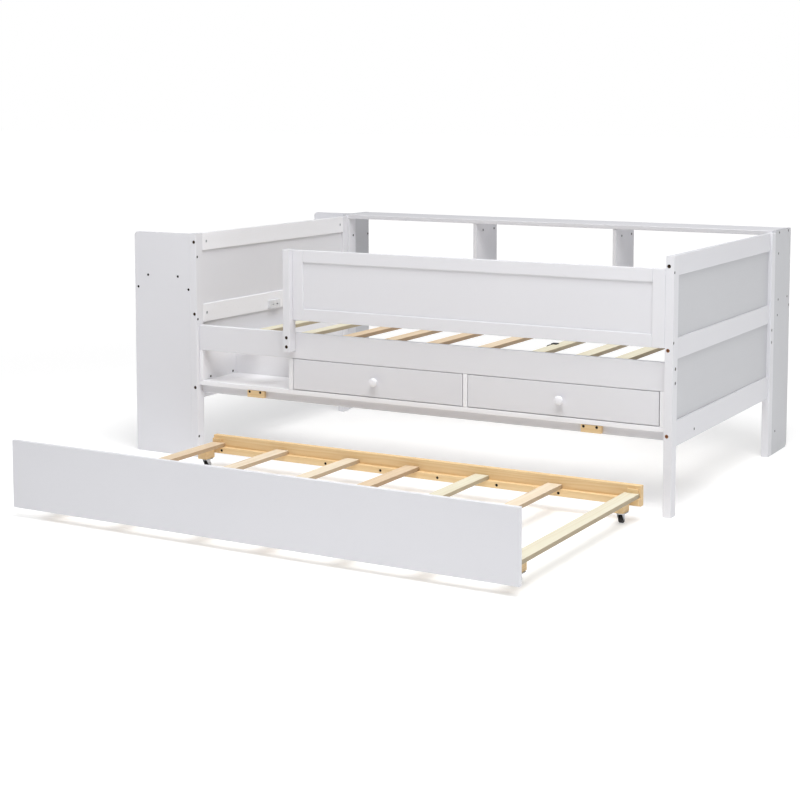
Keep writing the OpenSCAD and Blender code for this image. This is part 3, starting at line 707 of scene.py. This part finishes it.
def makeSlats():
    tree = slatTree()
    for node, seed in slats["seeds"].items():
        bm = meshOfNode(node)
        boxes = [boxOf([v.co for v in island]) for island in islandsOf(bm)]
        bm.free()
        size = boxes[0][1] - boxes[0][0]
        places = [((low + high) / 2, Vector((0, 0, 1))) for low, high in boxes]
        bm = plainMesh(node + "Points", pointMesh(node + "Points", places), tree, {
            "Length": size.y - slats["endGap"], "Width": size.x, "Thickness": size.z,
            "Fan": slats["fan"], "Seed": seed, "Material": finishes["slat_wood"]})
        bmesh.ops.remove_doubles(bm, verts=bm.verts, dist=1e-6)
        markBoards(bm, 700 + seed, slats["tones"][node])
        soften(bm, slats["edgeRadius"])
        finishPiece(camel(node), bm, "slat_wood", bodyOf[node], [node])
    print("slats laid")


makeSlats()


# ---- drawers ----

drawers = {"wall": 0.012, "floor": 0.009, "edgeRadius": 0.0012, "knobSteps": 48}
knobProfile = [(0.0, 0.0), (0.0088, 0.0), (0.0093, 0.0006), (0.0094, 0.0022), (0.0088, 0.0032), (0.0074, 0.0042),
               (0.0066, 0.0060), (0.0068, 0.0078), (0.0082, 0.0092), (0.0112, 0.0102), (0.0142, 0.0122),
               (0.0161, 0.0148), (0.0168, 0.0176), (0.0162, 0.0204), (0.0142, 0.0230), (0.0112, 0.0248),
               (0.0072, 0.0257), (0.0032, 0.02595), (0.0, 0.026)]


def addBoard(bm, low, high):
    made = bmesh.ops.create_cube(bm, size=1.0)["verts"]
    for vert in made:
        vert.co = Vector([low[i] if vert.co[i] < 0 else high[i] for i in range(3)])


def lathe(bm, profile, steps, place):
    # profile is (radius, height) pairs that start and end on the axis or close on themselves
    rows = []
    for radius, height in profile:
        if radius < 1e-6:
            rows.append([bm.verts.new(place @ Vector((0, 0, height)))])
        else:
            rows.append([bm.verts.new(place @ Vector((radius * math.cos(math.tau * i / steps),
                                                      radius * math.sin(math.tau * i / steps), height)))
                         for i in range(steps)])
    for lower, upper in zip(rows, rows[1:]):
        for i in range(steps):
            j = (i + 1) % steps
            corners = list(dict.fromkeys([lower[i % len(lower)], lower[j % len(lower)],
                                          upper[j % len(upper)], upper[i % len(upper)]]))
            if len(corners) > 2:
                bm.faces.new(corners)


def makeDrawers():
    for side in ("right", "left"):
        node = side + "_drawer_box"
        low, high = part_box(node)
        wall, base = drawers["wall"], drawers["floor"]
        bm = bmesh.new()
        addBoard(bm, (low.x, low.y, low.z), (low.x + wall, high.y, high.z))
        addBoard(bm, (high.x - wall, low.y, low.z), (high.x, high.y, high.z))
        for y in (low.y, high.y - wall):
            addBoard(bm, (low.x + wall, y, low.z + base), (high.x - wall, y + wall, high.z))
        addBoard(bm, (low.x + wall, low.y, low.z), (high.x - wall, high.y, low.z + base))
        markBoards(bm, 300 + len(side))
        soften(bm, drawers["edgeRadius"])
        finishPiece(camel(node), bm, "white_paint", bodyOf[node], [node])
        node = side + "_drawer_knob"
        low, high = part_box(node)
        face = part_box(side + "_drawer_front")[0].y
        place = Matrix.Translation(((low.x + high.x) / 2, face, (low.z + high.z) / 2)) @ Matrix.Rotation(
            math.radians(90), 4, "X")
        scale = (face - low.y) / knobProfile[-1][1]
        bm = bmesh.new()
        lathe(bm, [(r * scale, h * scale) for r, h in knobProfile], drawers["knobSteps"], place)
        bmesh.ops.recalc_face_normals(bm, faces=bm.faces)
        markBoards(bm, 320 + len(side))
        finishPiece(camel(node), bm, "knob_paint", bodyOf[node], [node], smooth=50)
    print("drawers made")


makeDrawers()


# ---- casters ----

casters = {"edgeRadius": 0.0003, "steps": 40, "tread": 0.0006, "hub": 0.0055, "rim": 0.0095, "bore": 0.00256,
           "plateAtLeast": 0.012}


def splitNode(node, keep):
    # the solids of a node for which keep(low, high) is true
    bm = meshOfNode(node)
    for island in islandsOf(bm):
        low, high = boxOf([v.co for v in island])
        if not keep(low, high):
            bmesh.ops.delete(bm, geom=island, context="VERTS")
    return bm


def wheelProfile(radius, width, bore):
    # one closed line round the wheel's section, from the bore over the hub and rim to the tread and back
    half, rim, hub = width / 2, casters["rim"], casters["hub"]
    right = [(bore, half), (hub, half), (hub + 0.0006, half - 0.0012), (rim - 0.0006, half - 0.0014),
             (rim, half - 0.0004), (radius - 0.0018, half - 0.0004), (radius - 0.0005, half - 0.0016),
             (radius, half - 0.0032), (radius, 0.0008), (radius - casters["tread"], 0.0003)]
    left = [(r, -h) for r, h in reversed(right)]
    return right + left + [right[0]]


def makeCasters():
    for node, body in bodyOf.items():
        if node.endswith("_fork"):
            bm = meshOfNode(node)
            markBoards(bm, 400)
            soften(bm, casters["edgeRadius"])
            finishPiece(camel(node), bm, "zinc_steel", body, [node])
        if node.endswith("_wheel"):
            low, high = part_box(node)
            middle = (low + high) / 2
            place = Matrix.Translation(middle) @ Matrix.Rotation(math.radians(90), 4, "Y")
            bm = bmesh.new()
            section = wheelProfile((high.z - low.z) / 2, high.x - low.x, casters["bore"])
            lathe(bm, section, casters["steps"], place)
            bmesh.ops.remove_doubles(bm, verts=bm.verts, dist=1e-6)
            bmesh.ops.recalc_face_normals(bm, faces=bm.faces)
            finishPiece(camel(node), bm, "black_plastic", body, [node], smooth=35)
    plates = splitNode("trundle_fittings", lambda low, high: high.x - low.x > casters["plateAtLeast"])
    markBoards(plates, 410)
    soften(plates, casters["edgeRadius"])
    finishPiece("casterPlates", plates, "zinc_steel", "trundle", ["trundle_fittings"])
    print("casters made")


makeCasters()


# ---- floor, light and camera ----

studio = {"floorSize": 60.0, "floorColour": (0.7, 0.7, 0.7), "floorCloud": (0.685, 0.685, 0.69),
          "glowNear": (0.4, 0.4, 0.4),
          "glowFar": (0.7, 0.7, 0.7), "glowReach": (2.4, 7.0), "worldStrength": 0.1,
          "backdrop": 1.0, "skyLight": 1.35, "skySpread": 80, "skyFrom": (0.0, -0.15, 1.0),
          "keyPower": 255, "keySize": 4.0, "keyPlace": (1.5, -1.5, 5.0), "keyAim": (0.0, 0.1, 0.5)}


def makeFloor():
    bm = bmesh.new()
    bmesh.ops.create_grid(bm, x_segments=1, y_segments=1, size=studio["floorSize"])
    mesh = bpy.data.meshes.new("studioFloor")
    bm.to_mesh(mesh)
    bm.free()
    floor = bpy.data.objects.new("studioFloor", mesh)
    scene.collection.objects.link(floor)
    kit = Finish("floorPaper")
    here = kit.node("ShaderNodeTexCoord", out=3)
    grain = kit.noise(here, 1.5, 2)
    x, y, z = kit.parts(here)
    away = (x * x + y * y).root().ease(*studio["glowReach"])
    glow = kit.mix(away, studio["glowNear"], studio["glowFar"])
    tone = kit.mix(grain * 0.1, studio["floorColour"], studio["floorCloud"])
    mesh.materials.append(kit.close(Base_Color=tone, Roughness=0.9, Emission_Color=glow, Emission_Strength=1.0))


def makeLight(name, kind, settings, place, direction):
    lamp = bpy.data.lights.new(name, kind)
    for key, value in settings.items():
        setattr(lamp, key, value)
    holder = bpy.data.objects.new(name, lamp)
    holder.location = place
    holder.rotation_euler = direction.to_track_quat("Z", "Y").to_euler()
    scene.collection.objects.link(holder)


def makeStudio():
    makeFloor()
    world = bpy.data.worlds.new("studioWorld")
    scene.world = world
    world.use_nodes = True
    tree = world.node_tree
    sky = tree.nodes["Background"]
    sky.inputs["Color"].default_value = (1, 1, 1, 1)
    path = tree.nodes.new("ShaderNodeLightPath")
    level = tree.nodes.new("ShaderNodeMapRange")
    level.inputs["To Min"].default_value = studio["worldStrength"]
    level.inputs["To Max"].default_value = studio["backdrop"]
    tree.links.new(path.outputs["Is Camera Ray"], level.inputs["Value"])
    tree.links.new(level.outputs[0], sky.inputs["Strength"])
    makeLight("skyLight", "SUN", {"energy": studio["skyLight"], "angle": math.radians(studio["skySpread"])},
              (0, 0, 8), Vector(studio["skyFrom"]))
    makeLight("keyLight", "AREA", {"energy": studio["keyPower"], "size": studio["keySize"]},
              studio["keyPlace"], Vector(studio["keyPlace"]) - Vector(studio["keyAim"]))
    scene.view_settings.view_transform = "Standard"
    scene.view_settings.look = "None"


lens = {"place": (3.0489, -5.3931, 1.4096), "turn": 29.45, "tilt": 5.28, "focal": 73.85, "shiftY": -0.18}


def makeCamera():
    data = bpy.data.cameras.new("camera")
    data.lens = lens["focal"]
    data.sensor_width = 36
    data.shift_y = lens["shiftY"]
    data.dof.use_dof = False
    data.clip_end = 200
    camera = bpy.data.objects.new("camera", data)
    camera.location = lens["place"]
    camera.rotation_euler = (math.radians(90 - lens["tilt"]), 0, math.radians(lens["turn"]))
    scene.collection.objects.link(camera)
    scene.camera = camera


makeStudio()
makeCamera()
